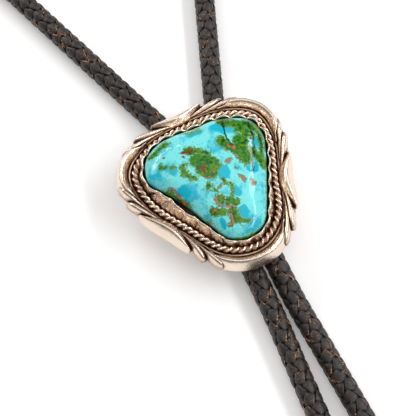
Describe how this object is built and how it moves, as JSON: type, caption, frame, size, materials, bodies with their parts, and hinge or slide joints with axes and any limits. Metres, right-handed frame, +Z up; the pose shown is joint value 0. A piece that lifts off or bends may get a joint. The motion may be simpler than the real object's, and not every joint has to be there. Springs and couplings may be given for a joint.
{
  "type": "bolo tie",
  "caption": "Bolo tie: a scrolled silver slide set with a domed blue-green stone, on a braided leather cord with tapered metal tips.",
  "frame": {"origin": "on the surface the tie lies on, under the middle of the slide (setting, stone and clasp)", "axes": "+Z up from the surface, out of the stone's face; +Y from the slide towards the neck loop; +X to the right as the stone's face is seen with the loop at the top"},
  "size_m": [0.1562, 0.4423, 0.0171],
  "materials": {
    "setting_silver": "polished sterling silver, bright on the crests and oxidised dark brown in the recesses",
    "turquoise": "polished stone: sky blue with green clouds, copper flecks and fine dark veins",
    "braided_leather": "near-black braided leather, softly shiny, worn to brown along the plait edges",
    "fitting_silver": "plain polished silver, lightly brushed"
  },
  "bodies": {
    "root": {"silver_setting": "setting_silver", "turquoise_stone": "turquoise", "cord_clasp": "fitting_silver", "braided_cord": "braided_leather", "cord_tip_left": "fitting_silver", "cord_tip_right": "fitting_silver"}
  },
  "joints": []
}
